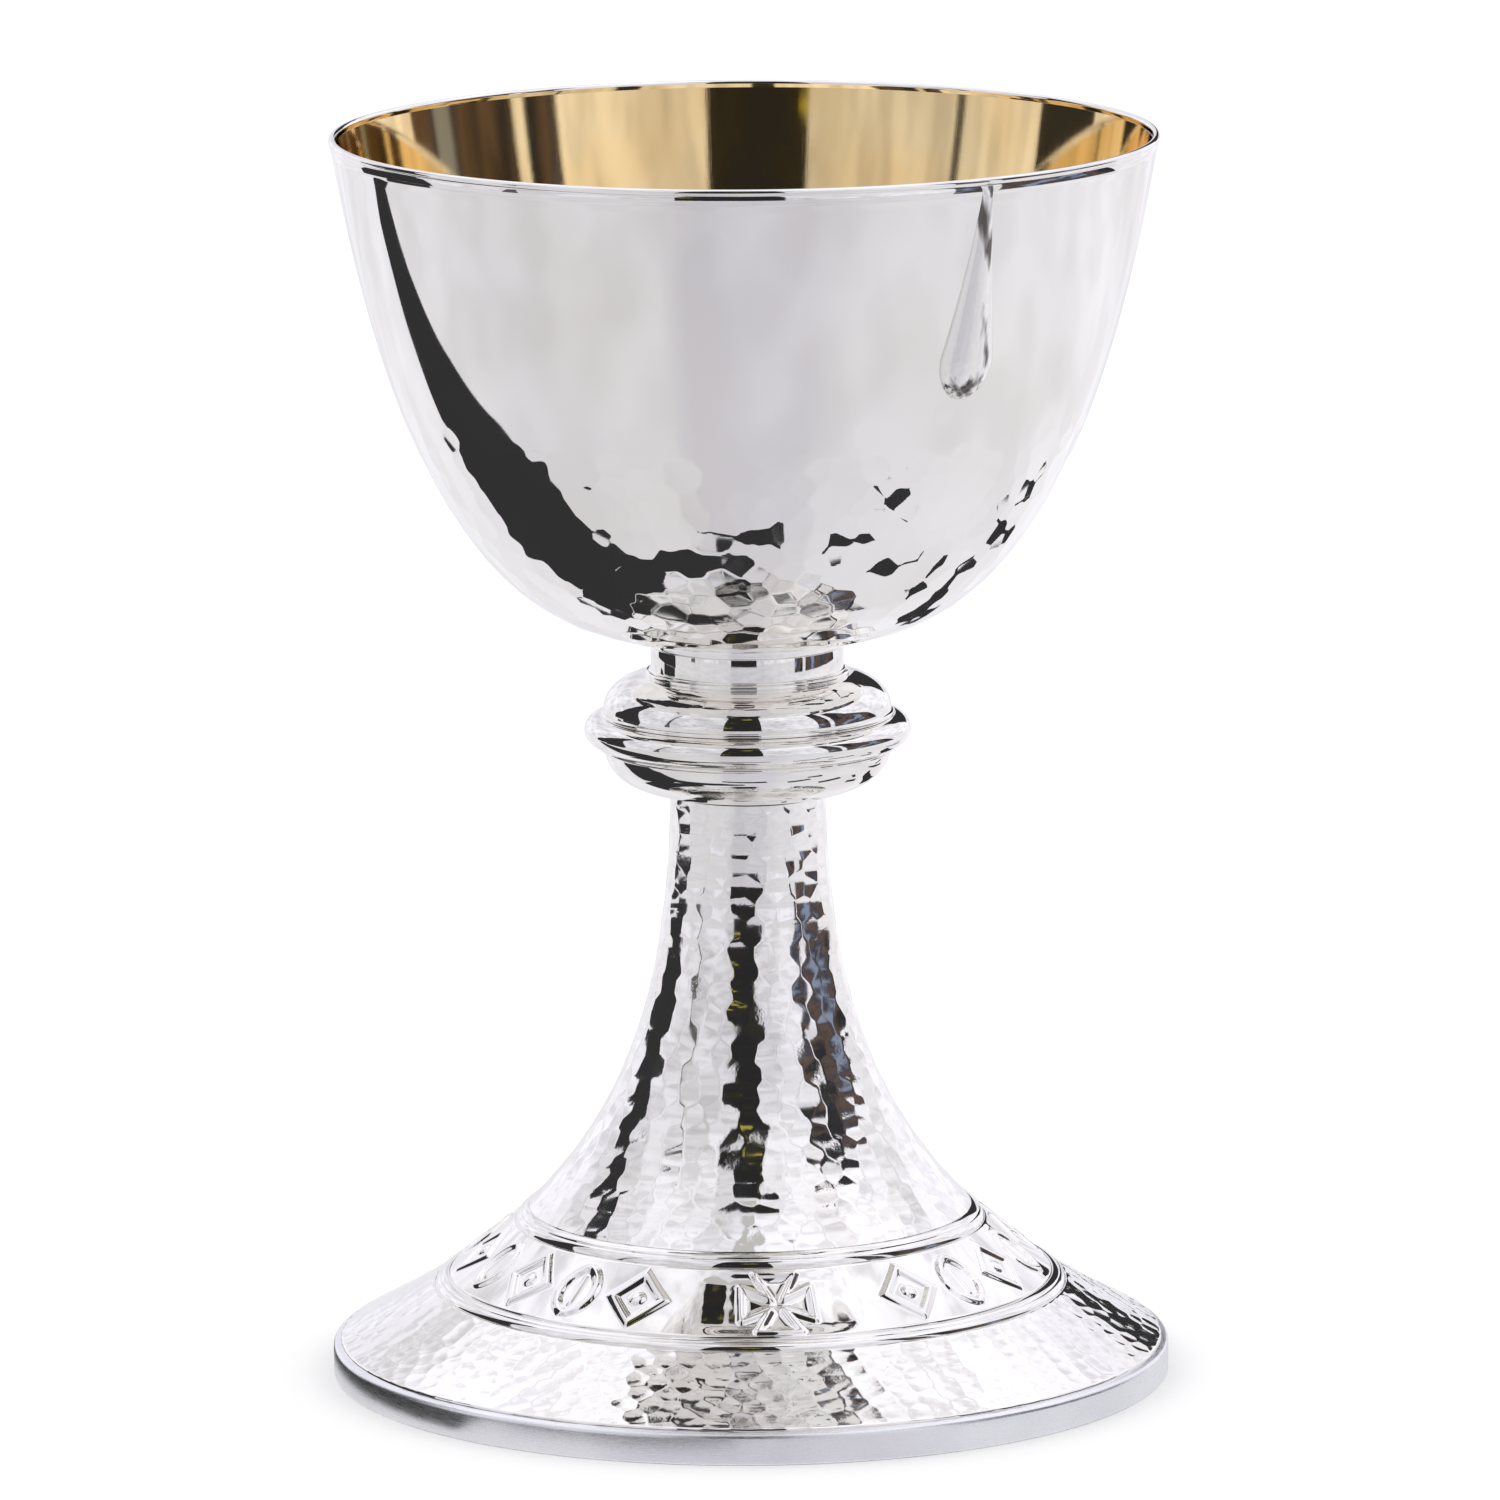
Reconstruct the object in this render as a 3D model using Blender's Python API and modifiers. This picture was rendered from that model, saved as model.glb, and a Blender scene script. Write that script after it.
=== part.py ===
"""Communion chalice: a raised silver cup with a gilt inside, a turned knop and a hammered foot.

The chalice stands on the plane z = 0 with its axis on +Z, and its front faces -Y. It comes apart
the way a real one does: a rod screwed into the boss under the cup passes down through the collar,
the knop and the plate that closes the top of the stem, and a nut inside the stem pulls the stack
tight. The foot is a trumpet of sheet metal: hammered stem, ornamented band between two border
wires, hammered skirt and a standing rim.
"""

from math import cos, pi, radians, sin

import bmesh
import bpy
from mathutils import Matrix, Vector

# Driving dimensions, in metres.
HEIGHT = 0.200
CUP_RIM_RADIUS = 0.0656
CUP_BOTTOM_Z = 0.11955
CUP_WALL = 0.0009
SHEET = 0.0010
GAP = 0.0003

# Outlines of the two raised forms, each one cubic curve given by its four control points (r, z).
CUP_CURVE = (
    (0.0, CUP_BOTTOM_Z),
    (0.0206, CUP_BOTTOM_Z),
    (0.0509, 0.1110),
    (CUP_RIM_RADIUS, HEIGHT - CUP_WALL / 2),
)
FOOT_CURVE = ((0.0124, 0.0940), (0.0131, 0.0520), (0.0245, 0.0265), (0.0671, 0.0050))

# The foot, from the stem outwards: radii where one piece ends and the next begins.
UPPER_WIRE_RADII = (0.0355, 0.0377)
LOWER_WIRE_RADII = (0.0485, 0.0507)
WIRE_RISE = 0.0005
RIM_BAND_RADIUS = 0.06715
RIM_BAND_WALL = 0.0018
RIM_BAND_HEIGHT = 0.0050
RIM_BAND_EDGE = 0.0008
RIM_BAND_LEDGE = 0.0008
SKIRT_OUTER_RADIUS = RIM_BAND_RADIUS - 0.0012

# The collar and the knop, stacked between the stem and the cup.
COLLAR_RADIUS = 0.0154
COLLAR_FLOOR_Z = 0.1146
SEAT_RING_Z = 0.1183
KNOP_TOP_Z = 0.1133
KNOP_BOTTOM_Z = 0.0943
KNOP_RADIUS = 0.0231
GIRDLE_RADIUS = 0.0026
GIRDLE_CENTRE = (0.02345, 0.10445)
GIRDLE_BORE = 0.0215
KNOP_BORE = 0.0080
UPPER_DOME = ((0.0150, KNOP_TOP_Z), (0.0204, KNOP_TOP_Z), (KNOP_RADIUS, 0.1104), (KNOP_RADIUS, 0.10715))
LOWER_DOME = ((0.0230, 0.10175), (0.0230, 0.0982), (0.0200, 0.0956), (0.0135, KNOP_BOTTOM_Z))

# The rod and nut inside.
ROD_RADIUS = 0.0030
ROD_HOLE_RADIUS = 0.0034
ROD_ENDS_Z = (0.0790, 0.1176)
BOSS_RADIUS = 0.0080
BOSS_FLOOR_Z = 0.1136
TOP_PLATE_Z = (0.0914, 0.0934)
WASHER_Z = (0.0896, 0.0911)
WASHER_RADIUS = 0.0070
NUT_Z = (0.0843, 0.0893)
NUT_ACROSS_FLATS = 0.0100
SPACER_RADII = (0.0045, 0.0060)

# The drop on the cup: its place, and how its round section grows along its length.
DROP_AZIMUTH = radians(35)
DROP_TOP_Z = 0.1965
DROP_TIP_Z = 0.1655
DROP_RADIUS = 0.0050
DROP_SINK = 0.0020
DROP_NECK_RADIUS = 0.0011

# The relief on the band: one cross and a ring of plain motifs.
CROSS_AZIMUTH = radians(5.5)
CROSS_SIZE = 0.0122
CROSS_WAIST = 0.0030
CROSS_FLARE = 0.0074
MOTIF_PITCH = radians(15)
MOTIFS_LEFT_OUT = 1
LOZENGE_SIZE = (0.0082, 0.0112)
OVAL_SIZE = (0.0062, 0.0112)
RELIEF_RISE = 0.0007
RELIEF_ROOT = 0.0006

FULL_TURN = 2 * pi
LARGE_STEPS = 48
SMALL_STEPS = 32
ROD_STEPS = 24


def clear_scene():
    for old in list(bpy.data.objects):
        bpy.data.objects.remove(old)


def new_collection(name):
    collection = bpy.data.collections.new(name)
    bpy.context.scene.collection.children.link(collection)
    return collection


def metal(name, colour, roughness):
    material = bpy.data.materials.new(name)
    material.use_nodes = True
    shader = material.node_tree.nodes["Principled BSDF"]
    shader.inputs["Base Color"].default_value = (*colour, 1.0)
    shader.inputs["Metallic"].default_value = 1.0
    shader.inputs["Roughness"].default_value = roughness
    return material


# Curves in the (r, z) half plane


def curve_point(curve, t):
    """The point of a cubic curve at t, and its unit normal on the outer side."""
    a, b, c, d = (Vector(p) for p in curve)
    s = 1 - t
    point = s**3 * a + 3 * s * s * t * b + 3 * s * t * t * c + t**3 * d
    along = (s * s * (b - a) + 2 * s * t * (c - b) + t * t * (d - c)).normalized()
    side = 1 if curve[0][1] > curve[-1][1] else -1
    return point, Vector((-along.y, along.x)) * side


def curve_at(curve, axis, value):
    """The t at which a curve's r (axis 0) or z (axis 1), which only grows or falls, is value."""
    low, high = 0.0, 1.0
    grows = curve[-1][axis] > curve[0][axis]
    for _ in range(40):
        middle = (low + high) / 2
        past = curve_point(curve, middle)[0][axis] > value
        low, high = (low, middle) if past == grows else (middle, high)
    return (low + high) / 2


def stretch(curve, start, end, count, offset=0.0):
    """Points from t = start to t = end, moved outwards by offset."""
    points = []
    for i in range(count + 1):
        point, normal = curve_point(curve, start + (end - start) * i / count)
        points.append(point + normal * offset)
    return points


def arc(centre, radius, start, end, count):
    """Points on a circle, from the start angle to the end angle in degrees."""
    turns = [radians(start + (end - start) * i / count) for i in range(count + 1)]
    return [Vector(centre) + radius * Vector((cos(turn), sin(turn))) for turn in turns]


# Solids


def linked(name, data, collection, material=None):
    obj = bpy.data.objects.new(name, data)
    collection.objects.link(obj)
    if material:
        data.materials.append(material)
    return obj


def evaluated_mesh(obj):
    """Replace an object by a mesh object of the same name, with its modifiers or bevel applied."""
    graph = bpy.context.evaluated_depsgraph_get()
    mesh = bpy.data.meshes.new_from_object(obj.evaluated_get(graph))
    place, collection, name = obj.matrix_world.copy(), obj.users_collection[0], obj.name
    bpy.data.objects.remove(obj)
    mesh.name = name
    shell = bmesh.new()
    shell.from_mesh(mesh)
    bmesh.ops.remove_doubles(shell, verts=shell.verts, dist=0.00001)
    shell.to_mesh(mesh)
    shell.free()
    mesh.shade_smooth()
    mesh.set_sharp_from_angle(angle=radians(35))
    solid = linked(name, mesh, collection)
    solid.matrix_world = place
    return solid


def turned(name, outline, collection, material, steps=LARGE_STEPS, closed=True):
    """A body of revolution about Z. The outline runs down its outer side and up its inner side."""
    edges = [(i, i + 1) for i in range(len(outline) - 1)]
    if closed:
        edges.append((len(outline) - 1, 0))
    mesh = bpy.data.meshes.new(name)
    mesh.from_pydata([(p[0], 0.0, p[1]) for p in outline], edges, [])
    obj = linked(name, mesh, collection, material)
    screw = obj.modifiers.new("Turn", "SCREW")
    screw.steps = screw.render_steps = steps
    screw.use_merge_vertices = True
    screw.merge_threshold = 0.00001
    return evaluated_mesh(obj)


def ring(name, inner, outer, bottom, top, collection, material, steps=SMALL_STEPS):
    """A plain tube or washer."""
    outline = [(outer, top), (outer, bottom), (inner, bottom), (inner, top)]
    return turned(name, outline, collection, material, steps)


def cut(obj, cutter, operation="DIFFERENCE"):
    boolean = obj.modifiers.new(cutter.name, "BOOLEAN")
    boolean.operation = operation
    boolean.solver = "EXACT"
    boolean.object = cutter
    cutter.hide_render = True
    cutter.display_type = "WIRE"


# The cup and what is fixed to it


def cup_outline(offset=0.0):
    """The outer side of the cup from its lip down to the axis."""
    return list(reversed(stretch(CUP_CURVE, 0, 1, 13, offset)))


def make_cup(parts, silver):
    """One raised sheet: the outer side down to the axis, then the inner side up to a round lip."""
    outer = cup_outline()
    inner = stretch(CUP_CURVE, 0, 1, 11, -CUP_WALL)
    outer[-1].x = inner[0].x = 0.0
    lip_centre = (outer[0] + inner[-1]) / 2
    lip = arc(lip_centre, CUP_WALL / 2, 180, 0, 4)[1:-1]
    turned("cup", inner + lip + outer, parts, silver, closed=False)


def make_drop(parts, cutters, silver):
    """A long drop of metal soldered to the cup: a thin neck under the lip, a round full end."""
    bulge = cup_outline(GAP) + [Vector((0.0, HEIGHT + GAP))]
    bulge[-2].x = 0.0
    cup_block = turned("cup_block", bulge[-1:] + bulge[:-1], cutters, None, closed=False)

    path = bpy.data.curves.new("bowl_drop", "CURVE")
    path.dimensions = "3D"
    path.bevel_depth = 1.0
    path.bevel_resolution = 3
    path.use_fill_caps = True
    count = 15
    spline = path.splines.new("POLY")
    spline.points.add(count - 1)
    top, tip = curve_at(CUP_CURVE, 1, DROP_TOP_Z), curve_at(CUP_CURVE, 1, DROP_TIP_Z)
    for i, point in enumerate(spline.points):
        along = i / (count - 1)
        radius = drop_radius(along)
        place, normal = curve_point(CUP_CURVE, top + (tip - top) * along)
        place = place - normal * DROP_SINK * radius / DROP_RADIUS
        point.co = (place.x * sin(DROP_AZIMUTH), -place.x * cos(DROP_AZIMUTH), place.y, 1.0)
        point.radius = radius
    drop = linked("bowl_drop", path, parts, silver)
    cut(evaluated_mesh(drop), cup_block)


def drop_radius(along):
    """The drop's radius from its neck (along = 0) to the end of its round tip (along = 1)."""
    fullest = 0.80
    if along < fullest:
        rise = along / fullest
        return DROP_NECK_RADIUS + (DROP_RADIUS - DROP_NECK_RADIUS) * rise * rise * (3 - 2 * rise)
    past = (along - fullest) / (1.04 - fullest)
    return DROP_RADIUS * (1 - past * past) ** 0.5


def make_cup_fittings(parts, silver, steel):
    ring("cup_seat_ring", 0.0118, COLLAR_RADIUS, SEAT_RING_Z, CUP_BOTTOM_Z - GAP, parts, silver)
    roof = CUP_BOTTOM_Z - GAP
    hole_roof = ROD_ENDS_Z[1] + GAP
    boss = [
        (0.0, roof),
        (BOSS_RADIUS, roof),
        (BOSS_RADIUS, BOSS_FLOOR_Z),
        (ROD_HOLE_RADIUS, BOSS_FLOOR_Z),
        (ROD_HOLE_RADIUS, hole_roof),
        (0.0, hole_roof),
    ]
    turned("cup_boss", boss, parts, silver, ROD_STEPS, closed=False)
    chamfer = 0.0005
    bottom, top = ROD_ENDS_Z
    rod = [
        (0.0, top),
        (ROD_RADIUS - chamfer, top),
        (ROD_RADIUS, top - chamfer),
        (ROD_RADIUS, bottom + chamfer),
        (ROD_RADIUS - chamfer, bottom),
        (0.0, bottom),
    ]
    turned("tie_rod", rod, parts, steel, ROD_STEPS, closed=False)


# The collar and the knop


def make_collar(parts, silver):
    inner = COLLAR_RADIUS - SHEET
    ring("collar_tube", inner, COLLAR_RADIUS, COLLAR_FLOOR_Z, SEAT_RING_Z - GAP, parts, silver)
    top, bottom = COLLAR_FLOOR_Z - GAP, KNOP_TOP_Z + GAP
    outer = arc((COLLAR_RADIUS, bottom), top - bottom, 90, 0, 3)
    bead = [*outer, (inner, bottom), (inner, top)]
    turned("collar_bead", bead, parts, silver, SMALL_STEPS)


def make_knop(parts, silver):
    """Two domed shells on either side of a half-round girdle, and a tube inside that keeps them apart."""
    dome = stretch(UPPER_DOME, 0, 1, 6)
    lining = [Vector((KNOP_BORE, KNOP_TOP_Z - SHEET))] + stretch(UPPER_DOME, 0, 1, 4, -SHEET)
    upper = [(KNOP_BORE, KNOP_TOP_Z), *dome, *reversed(lining)]
    turned("knop_upper_shell", upper, parts, silver, SMALL_STEPS)

    girdle = arc(GIRDLE_CENTRE, GIRDLE_RADIUS, 66, -66, 6)
    girdle = [(GIRDLE_BORE, girdle[0].y), *girdle, (GIRDLE_BORE, girdle[-1].y)]
    turned("knop_girdle", girdle, parts, silver, SMALL_STEPS)

    dome = stretch(LOWER_DOME, 0, 1, 6)
    lining = stretch(LOWER_DOME, 0, 1, 4, -SHEET) + [Vector((KNOP_BORE, KNOP_BOTTOM_Z + SHEET))]
    lower = [*dome, (KNOP_BORE, KNOP_BOTTOM_Z), *reversed(lining)]
    turned("knop_lower_shell", lower, parts, silver, SMALL_STEPS)

    low, high = KNOP_BOTTOM_Z + SHEET + GAP, KNOP_TOP_Z - SHEET - GAP
    ring("knop_spacer", *SPACER_RADII, low, high, parts, silver, ROD_STEPS)


# The foot


def foot_stretch(name, inner_radius, outer_radius, count, parts, material, rise=0.0):
    """A ring of the foot's sheet between two radii; with a rise, its face is a bead."""
    start, end = (curve_at(FOOT_CURVE, 0, radius) for radius in (inner_radius, outer_radius))
    face = []
    for i in range(count + 1):
        place, normal = curve_point(FOOT_CURVE, start + (end - start) * i / count)
        face.append(place + normal * rise * sin(pi * i / count))
    back = stretch(FOOT_CURVE, start, end, max(1, count - 2), -SHEET)
    return turned(name, [*face, *reversed(back)], parts, material)


def make_foot(parts, cutters, silver, hammered, satin):
    top = FOOT_CURVE[0][0]
    upper, lower = UPPER_WIRE_RADII, LOWER_WIRE_RADII
    foot_stretch("stem", top, upper[0] - GAP, 9, parts, hammered)
    foot_stretch("border_wire_upper", *upper, 4, parts, silver, WIRE_RISE)
    band = foot_stretch("foot_band", upper[1] + GAP, lower[0] - GAP, 3, parts, silver)
    foot_stretch("border_wire_lower", *lower, 4, parts, silver, WIRE_RISE)
    foot_stretch("foot_skirt", lower[1] + GAP, SKIRT_OUTER_RADIUS - GAP, 5, parts, hammered)
    add_relief(band, cutters)

    edge_centre = (RIM_BAND_RADIUS - RIM_BAND_EDGE, RIM_BAND_HEIGHT - RIM_BAND_EDGE)
    edge = arc(edge_centre, RIM_BAND_EDGE, 80, 0, 3)
    inner = RIM_BAND_RADIUS - RIM_BAND_WALL
    ledge = (SKIRT_OUTER_RADIUS, RIM_BAND_HEIGHT - RIM_BAND_LEDGE)
    outline = [*edge, (RIM_BAND_RADIUS, 0.0), (inner, 0.0), (inner, ledge[1] - RIM_BAND_LEDGE), ledge]
    turned("rim_band", outline, parts, satin)


def on_band(azimuth):
    """The frame of a motif in the middle of the band: x round the foot, y up its slope, z out."""
    middle = (UPPER_WIRE_RADII[1] + LOWER_WIRE_RADII[0]) / 2
    place, normal = curve_point(FOOT_CURVE, curve_at(FOOT_CURVE, 0, middle))
    out = Vector((normal.x * sin(azimuth), -normal.x * cos(azimuth), normal.y))
    around = Vector((cos(azimuth), sin(azimuth), 0.0))
    frame = Matrix((around, out.cross(around), out)).transposed().to_4x4()
    frame.translation = (place.x * sin(azimuth), -place.x * cos(azimuth), place.y)
    return frame


def lozenge_or_oval(name, sides, size, azimuth, cutters):
    """A low boss: a cone with its tip cut off, stretched to its size."""
    boss = bmesh.new()
    height = RELIEF_RISE + RELIEF_ROOT
    bmesh.ops.create_cone(
        boss, cap_ends=True, segments=sides, radius1=0.5, radius2=0.42, depth=height,
        matrix=Matrix.Translation((0.0, 0.0, height / 2 - RELIEF_ROOT)),
    )
    bmesh.ops.scale(boss, verts=boss.verts, vec=(size[0], size[1], 1.0))
    mesh = bpy.data.meshes.new(name)
    boss.to_mesh(mesh)
    boss.free()
    obj = linked(name, mesh, cutters)
    obj.matrix_world = on_band(azimuth)
    return obj


def cross(cutters):
    """A cross with flared arms, cut from plate."""
    half, waist, flare = CROSS_SIZE / 2, CROSS_WAIST / 2, CROSS_FLARE / 2
    arm = [Vector((waist, waist)), Vector((flare, half)), Vector((-flare, half))]
    outline = []
    for quarter in range(4):
        turn = Matrix.Rotation(quarter * FULL_TURN / 4, 2)
        outline += [turn @ corner for corner in arm]
    path = bpy.data.curves.new("cross", "CURVE")
    path.dimensions = "2D"
    path.fill_mode = "BOTH"
    path.extrude = (RELIEF_RISE + RELIEF_ROOT) / 2
    spline = path.splines.new("POLY")
    spline.points.add(len(outline) - 1)
    for point, corner in zip(spline.points, outline):
        point.co = (corner.x, corner.y, 0.0, 1.0)
    spline.use_cyclic_u = True
    plate = linked("cross", path, cutters)
    plate.matrix_world = on_band(CROSS_AZIMUTH) @ Matrix.Translation((0, 0, path.extrude - RELIEF_ROOT))
    bpy.context.view_layer.update()
    return evaluated_mesh(plate)


def add_relief(band, cutters):
    """Raise the cross and, either side of it and right round, lozenges and ovals in turn."""
    cut(band, cross(cutters), "UNION")
    places = round(FULL_TURN / MOTIF_PITCH)
    for i in range(1 + MOTIFS_LEFT_OUT, places - MOTIFS_LEFT_OUT):
        azimuth = CROSS_AZIMUTH + i * MOTIF_PITCH
        shape = (4, LOZENGE_SIZE) if i % 2 == 0 else (10, OVAL_SIZE)
        cut(band, lozenge_or_oval(f"motif_{i:02d}", *shape, azimuth, cutters), "UNION")


# The fixing inside the stem


def prism(name, sides, radius, bottom, top, collection, material=None):
    shape = bmesh.new()
    middle = Matrix.Translation((0.0, 0.0, (bottom + top) / 2))
    bmesh.ops.create_cone(
        shape, cap_ends=True, segments=sides, radius1=radius, radius2=radius, depth=top - bottom,
        matrix=middle,
    )
    mesh = bpy.data.meshes.new(name)
    shape.to_mesh(mesh)
    shape.free()
    return linked(name, mesh, collection, material)


def make_fixing(parts, cutters, steel):
    inner_radius = curve_point(FOOT_CURVE, 0)[0].x - SHEET
    ring("stem_top_plate", ROD_HOLE_RADIUS, inner_radius - GAP, *TOP_PLATE_Z, parts, steel, ROD_STEPS)
    ring("washer", ROD_HOLE_RADIUS, WASHER_RADIUS, *WASHER_Z, parts, steel, ROD_STEPS)
    corner_radius = NUT_ACROSS_FLATS / 2 / cos(pi / 6)
    nut = prism("retaining_nut", 6, corner_radius, *NUT_Z, parts, steel)
    reach = 0.001
    cut(nut, prism("nut_bore", ROD_STEPS, ROD_HOLE_RADIUS, NUT_Z[0] - reach, NUT_Z[1] + reach, cutters))


def main():
    clear_scene()
    parts = new_collection("communion_chalice")
    cutters = new_collection("cutters")
    silver = metal("polished_silver", (0.93, 0.92, 0.90), 0.06)
    hammered = metal("hammered_silver", (0.93, 0.92, 0.90), 0.08)
    satin = metal("satin_silver", (0.80, 0.80, 0.80), 0.30)
    steel = metal("steel", (0.60, 0.60, 0.60), 0.30)
    make_cup(parts, silver)
    make_drop(parts, cutters, silver)
    make_cup_fittings(parts, silver, steel)
    make_collar(parts, silver)
    make_knop(parts, silver)
    make_foot(parts, cutters, silver, hammered, satin)
    make_fixing(parts, cutters, steel)


main()
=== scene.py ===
"""The chalice's looks: hammered and polished silver, a gilt inside, and a white studio around it."""

from math import cos, pi, radians, sin
from typing import NamedTuple

import bpy
import numpy as np
from mathutils import Matrix, Vector


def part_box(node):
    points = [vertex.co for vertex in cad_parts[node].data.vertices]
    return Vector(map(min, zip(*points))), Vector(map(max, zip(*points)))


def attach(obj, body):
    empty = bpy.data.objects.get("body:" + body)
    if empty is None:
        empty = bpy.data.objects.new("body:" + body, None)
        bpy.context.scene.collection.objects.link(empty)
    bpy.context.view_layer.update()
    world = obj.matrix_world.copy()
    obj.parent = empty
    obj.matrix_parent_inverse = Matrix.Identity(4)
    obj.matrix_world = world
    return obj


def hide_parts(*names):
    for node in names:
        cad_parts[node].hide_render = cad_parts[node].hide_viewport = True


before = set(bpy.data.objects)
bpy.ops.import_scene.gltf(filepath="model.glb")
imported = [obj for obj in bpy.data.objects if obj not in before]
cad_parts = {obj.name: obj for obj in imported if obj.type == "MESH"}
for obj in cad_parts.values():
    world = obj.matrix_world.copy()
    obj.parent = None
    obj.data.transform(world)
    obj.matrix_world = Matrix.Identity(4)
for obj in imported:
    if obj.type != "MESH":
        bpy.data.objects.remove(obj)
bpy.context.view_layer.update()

MM = 0.001
FULL_TURN = 2 * pi
SEED = 7

# Control points of the outlines that the CAD solids have too, as (r, z).
CUP_LOW, CUP_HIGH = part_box("cup")
RIM_RADIUS, LIP_Z, CUP_BOTTOM_Z = CUP_HIGH.x, CUP_HIGH.z, CUP_LOW.z
CUP_WALL = 0.9 * MM
CUP_CURVE = (
    (RIM_RADIUS, LIP_Z - CUP_WALL / 2),
    (50.9 * MM, 111.0 * MM),
    (20.6 * MM, CUP_BOTTOM_Z),
    (0.0, CUP_BOTTOM_Z),
)
SHEET = 1.0 * MM
STEM_TOP_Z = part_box("stem")[1].z
FOOT_CURVE = (
    (12.4 * MM, STEM_TOP_Z),
    (13.1 * MM, 52.0 * MM),
    (24.5 * MM, 26.5 * MM),
    (67.1 * MM, 5.0 * MM),
)
# Radii where the foot's pieces meet: stem, upper wire, band, lower wire, skirt.
FOOT_SEAM_RADII = (35.5 * MM, 37.7 * MM, 48.5 * MM, 50.7 * MM)

SOLDERED_EDGE_WIDTH = 0.35 * MM
SOLDERED_EDGE_DEPTH = 0.22 * MM
BACK_STEP = 4 * MM


class Blows(NamedTuple):
    """How a part is planished. The bends are curvatures, in 1/metre, of the marks in the finished surface."""

    row_pitch: float
    column_pitch: float
    dish: float
    tilt: float
    jitter: float
    least_bend: float
    most_bend: float = 1 / (10 * MM)
    brick: bool = False


CUP_BLOWS = Blows(2.75 * MM, 3.25 * MM, dish=1 / 0.14, tilt=0.022, jitter=0.16, least_bend=1 / 0.045)
STEM_BLOWS = Blows(
    3.3 * MM, 3.4 * MM, dish=1 / 0.09, tilt=0.018, jitter=0.17, least_bend=1 / 0.028, most_bend=1 / 0.024,
)
SKIRT_BLOWS = Blows(
    2.5 * MM, 4.1 * MM, dish=1 / 0.040, tilt=0.015, jitter=0.11, least_bend=1 / 0.026, brick=True,
)
CUP_BLOWS_TOP_Z = 158 * MM
CUP_BLOWS_FADE = 15 * MM
BLOW_REACH_ROWS = 2.3
BRICK_SLIP = 0.08
BITE_SPREAD = 0.006 * MM
FADING_BITE_SPREAD = 0.008 * MM
SEAM_SOFTNESS = 0.002 * MM

CROSS_AZIMUTH = radians(5.5)
MOTIF_PITCH = radians(15)
MOTIF_HALF_HEIGHT = 4.8 * MM
MOTIF_RIDGE = (0.95 * MM, 0.52 * MM)


# Curves and outlines


class Curve:
    """A cubic curve in the (r, z) half plane, measured along its length, with its outer side on the left."""

    def __init__(self, control):
        t = np.linspace(0.0, 1.0, 4001)[:, None]
        a, b, c, d = (np.array(p) for p in control)
        self.points = (1 - t) ** 3 * a + 3 * (1 - t) ** 2 * t * b + 3 * (1 - t) * t * t * c + t**3 * d
        along = (1 - t) ** 2 * (b - a) + 2 * (1 - t) * t * (c - b) + t * t * (d - c)
        along /= np.linalg.norm(along, axis=1)[:, None]
        self.normals = np.stack([-along[:, 1], along[:, 0]], axis=1)
        steps = np.linalg.norm(np.diff(self.points, axis=0), axis=1)
        self.lengths = np.concatenate([[0.0], np.cumsum(steps)])
        self.length = self.lengths[-1]
        lean = np.unwrap(np.arctan2(self.normals[:, 1], self.normals[:, 0]))
        self.bends = -np.gradient(lean, self.lengths)

    def read(self, values, s):
        return np.interp(s, self.lengths, values)

    def radius(self, s):
        return self.read(self.points[:, 0], s)

    def height(self, s):
        return self.read(self.points[:, 1], s)

    def normal(self, s):
        """The outward direction at the lengths s, as its r and z parts."""
        return self.read(self.normals[:, 0], s), self.read(self.normals[:, 1], s)

    def place(self, s, offset=0.0):
        """Points at the lengths s, moved out by offset."""
        out_r, out_z = self.normal(s)
        return np.stack([self.radius(s) + offset * out_r, self.height(s) + offset * out_z], axis=1)

    def at_radius(self, radius):
        order = np.argsort(self.points[:, 0])
        return float(np.interp(radius, self.points[order, 0], self.lengths[order]))

    def at_height(self, z):
        order = np.argsort(self.points[:, 1])
        return float(np.interp(z, self.points[order, 1], self.lengths[order]))


def spaced(start, end, step):
    """Evenly spaced values from start to end, about a step apart."""
    return np.linspace(start, end, max(2, int(round(abs(end - start) / step)) + 1))


def spaced_line(start, end, count):
    """Points inside a straight line, without its ends."""
    t = np.linspace(0, 1, count + 2)[1:-1, None]
    return np.array(start) * (1 - t) + np.array(end) * t


def arc(centre, radius, start, end, count):
    """Points on a circle, from the start angle to the end angle in degrees."""
    turn = np.radians(np.linspace(start, end, count + 1))
    return np.stack([centre[0] + radius * np.cos(turn), centre[1] + radius * np.sin(turn)], axis=1)


def cubic(control, count):
    curve = Curve(control)
    return curve.place(np.linspace(0, curve.length, count + 1))


def smoothstep(x):
    x = np.clip(x, 0.0, 1.0)
    return x * x * (3 - 2 * x)


# Meshes


def column_angles(columns):
    return np.arange(columns) * FULL_TURN / columns


def turned_rings(r, z, columns):
    """Points round the axis; r and z have a row for each ring, and r may also change round it."""
    angle = column_angles(columns)
    r = np.broadcast_to(r, (len(r), columns))
    return np.stack([r * np.cos(angle), r * np.sin(angle), np.broadcast_to(z, r.shape)], axis=2)


def revolve(outline, columns):
    """One ring of points for each point of the outline."""
    outline = np.asarray(outline, float)
    return turned_rings(outline[:, 0:1], outline[:, 1:2], columns)


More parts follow.
